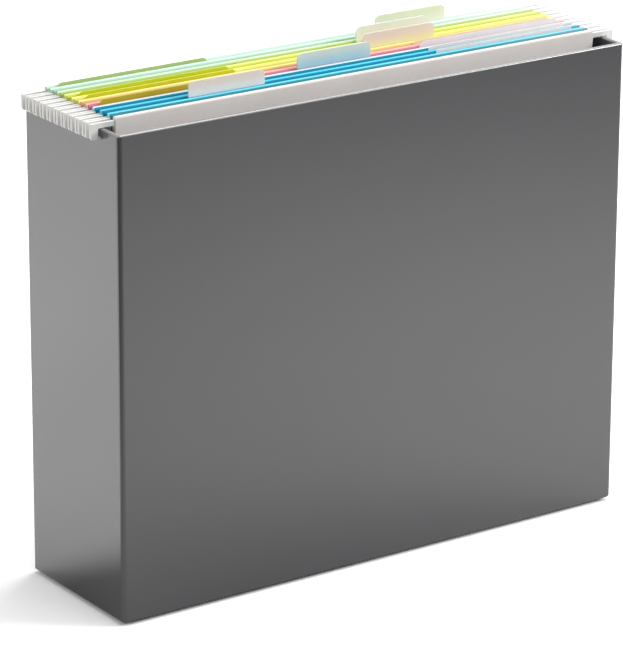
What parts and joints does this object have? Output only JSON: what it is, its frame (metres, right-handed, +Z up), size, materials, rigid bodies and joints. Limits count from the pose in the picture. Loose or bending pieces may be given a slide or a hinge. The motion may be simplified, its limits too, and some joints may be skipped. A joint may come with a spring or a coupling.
{
  "type": "portable file box",
  "caption": "Narrow open-top desktop box whose end walls carry a row of hooked hanging folders, each holding a tabbed card file.",
  "frame": {"origin": "middle of the box's footprint, on the surface the box stands on", "axes": "+X along the box's length, to the right as seen from its front; +Y from the front panel to the back panel; +Z up"},
  "size_m": [0.3218, 0.088, 0.2684],
  "materials": {
    "shell_plastic": "moulded dark grey, satin sheen",
    "foot_rubber": "black, matt",
    "rod_enamel": "white coated strip",
    "tab_plastic": "clear, lightly frosted",
    "paper_white": "smooth coloured folder paper",
    "paper_blue": "smooth coloured folder paper",
    "paper_pink": "smooth coloured folder paper",
    "paper_cream": "smooth coloured folder paper",
    "paper_yellow": "smooth coloured folder paper",
    "paper_lemon": "smooth coloured folder paper",
    "paper_lime": "smooth coloured folder paper",
    "paper_aqua": "smooth coloured folder paper",
    "paper_pale_aqua": "smooth coloured folder paper",
    "card_blue": "smooth coloured card",
    "card_white": "smooth coloured card",
    "card_gold": "smooth coloured card",
    "card_pink": "smooth coloured card",
    "card_cream": "smooth coloured card",
    "card_lime": "smooth coloured card",
    "card_mint": "smooth coloured card",
    "card_green": "smooth coloured card"
  },
  "bodies": {
    "box": {"box_shell": "shell_plastic", "foot_front_left": "foot_rubber", "foot_front_right": "foot_rubber", "foot_back_left": "foot_rubber", "foot_back_right": "foot_rubber"},
    "folder_01": {"hanging_01_front_rod": "rod_enamel", "hanging_01_rear_rod": "rod_enamel", "hanging_01_jacket": "paper_white"},
    "file_01": {"file_01": "card_blue"},
    "folder_02": {"hanging_02_front_rod": "rod_enamel", "hanging_02_rear_rod": "rod_enamel", "hanging_02_jacket": "paper_blue", "hanging_02_tab": "tab_plastic"},
    "file_02": {"file_02": "card_blue"},
    "folder_03": {"hanging_03_front_rod": "rod_enamel", "hanging_03_rear_rod": "rod_enamel", "hanging_03_jacket": "paper_blue"},
    "file_03": {"file_03": "card_white"},
    "folder_04": {"hanging_04_front_rod": "rod_enamel", "hanging_04_rear_rod": "rod_enamel", "hanging_04_jacket": "paper_pink", "hanging_04_tab": "tab_plastic"},
    "file_04": {"file_04": "card_gold"},
    "folder_05": {"hanging_05_front_rod": "rod_enamel", "hanging_05_rear_rod": "rod_enamel", "hanging_05_jacket": "paper_cream"},
    "file_05": {"file_05": "card_pink"},
    "folder_06": {"hanging_06_front_rod": "rod_enamel", "hanging_06_rear_rod": "rod_enamel", "hanging_06_jacket": "paper_yellow", "hanging_06_tab": "tab_plastic"},
    "file_06": {"file_06": "card_cream"},
    "folder_07": {"hanging_07_front_rod": "rod_enamel", "hanging_07_rear_rod": "rod_enamel", "hanging_07_jacket": "paper_lemon"},
    "file_07": {"file_07": "card_lime"},
    "folder_08": {"hanging_08_front_rod": "rod_enamel", "hanging_08_rear_rod": "rod_enamel", "hanging_08_jacket": "paper_lime", "hanging_08_tab": "tab_plastic"},
    "file_08": {"file_08": "card_lime"},
    "folder_09": {"hanging_09_front_rod": "rod_enamel", "hanging_09_rear_rod": "rod_enamel", "hanging_09_jacket": "paper_aqua"},
    "file_09": {"file_09": "card_mint"},
    "folder_10": {"hanging_10_front_rod": "rod_enamel", "hanging_10_rear_rod": "rod_enamel", "hanging_10_jacket": "paper_pale_aqua", "hanging_10_tab": "tab_plastic"},
    "file_10": {"file_10": "card_green"}
  },
  "joints": [
    {"name": "folder_01_rail_slide", "type": "slide", "parent": "box", "child": "folder_01", "axis": [0, 1, 0], "range_m": [-0.0128, 0]},
    {"name": "file_01_lift_out", "type": "slide", "parent": "folder_01", "child": "file_01", "axis": [0, 0, 1], "range_m": [0, 0.24]},
    {"name": "folder_02_lift_out", "type": "slide", "parent": "box", "child": "folder_02", "axis": [0, 0, 1], "range_m": [0, 0.25]},
    {"name": "file_02_lift_out", "type": "slide", "parent": "folder_02", "child": "file_02", "axis": [0, 0, 1], "range_m": [0, 0.24]},
    {"name": "folder_03_lift_out", "type": "slide", "parent": "box", "child": "folder_03", "axis": [0, 0, 1], "range_m": [0, 0.25]},
    {"name": "file_03_lift_out", "type": "slide", "parent": "folder_03", "child": "file_03", "axis": [0, 0, 1], "range_m": [0, 0.24]},
    {"name": "folder_04_lift_out", "type": "slide", "parent": "box", "child": "folder_04", "axis": [0, 0, 1], "range_m": [0, 0.25]},
    {"name": "file_04_lift_out", "type": "slide", "parent": "folder_04", "child": "file_04", "axis": [0, 0, 1], "range_m": [0, 0.24]},
    {"name": "folder_05_lift_out", "type": "slide", "parent": "box", "child": "folder_05", "axis": [0, 0, 1], "range_m": [0, 0.25]},
    {"name": "file_05_lift_out", "type": "slide", "parent": "folder_05", "child": "file_05", "axis": [0, 0, 1], "range_m": [0, 0.24]},
    {"name": "folder_06_lift_out", "type": "slide", "parent": "box", "child": "folder_06", "axis": [0, 0, 1], "range_m": [0, 0.25]},
    {"name": "file_06_lift_out", "type": "slide", "parent": "folder_06", "child": "file_06", "axis": [0, 0, 1], "range_m": [0, 0.24]},
    {"name": "folder_07_lift_out", "type": "slide", "parent": "box", "child": "folder_07", "axis": [0, 0, 1], "range_m": [0, 0.25]},
    {"name": "file_07_lift_out", "type": "slide", "parent": "folder_07", "child": "file_07", "axis": [0, 0, 1], "range_m": [0, 0.24]},
    {"name": "folder_08_lift_out", "type": "slide", "parent": "box", "child": "folder_08", "axis": [0, 0, 1], "range_m": [0, 0.25]},
    {"name": "file_08_lift_out", "type": "slide", "parent": "folder_08", "child": "file_08", "axis": [0, 0, 1], "range_m": [0, 0.24]},
    {"name": "folder_09_lift_out", "type": "slide", "parent": "box", "child": "folder_09", "axis": [0, 0, 1], "range_m": [0, 0.25]},
    {"name": "file_09_lift_out", "type": "slide", "parent": "folder_09", "child": "file_09", "axis": [0, 0, 1], "range_m": [0, 0.24]},
    {"name": "folder_10_lift_out", "type": "slide", "parent": "box", "child": "folder_10", "axis": [0, 0, 1], "range_m": [0, 0.25]},
    {"name": "file_10_lift_out", "type": "slide", "parent": "folder_10", "child": "file_10", "axis": [0, 0, 1], "range_m": [0, 0.24]}
  ]
}
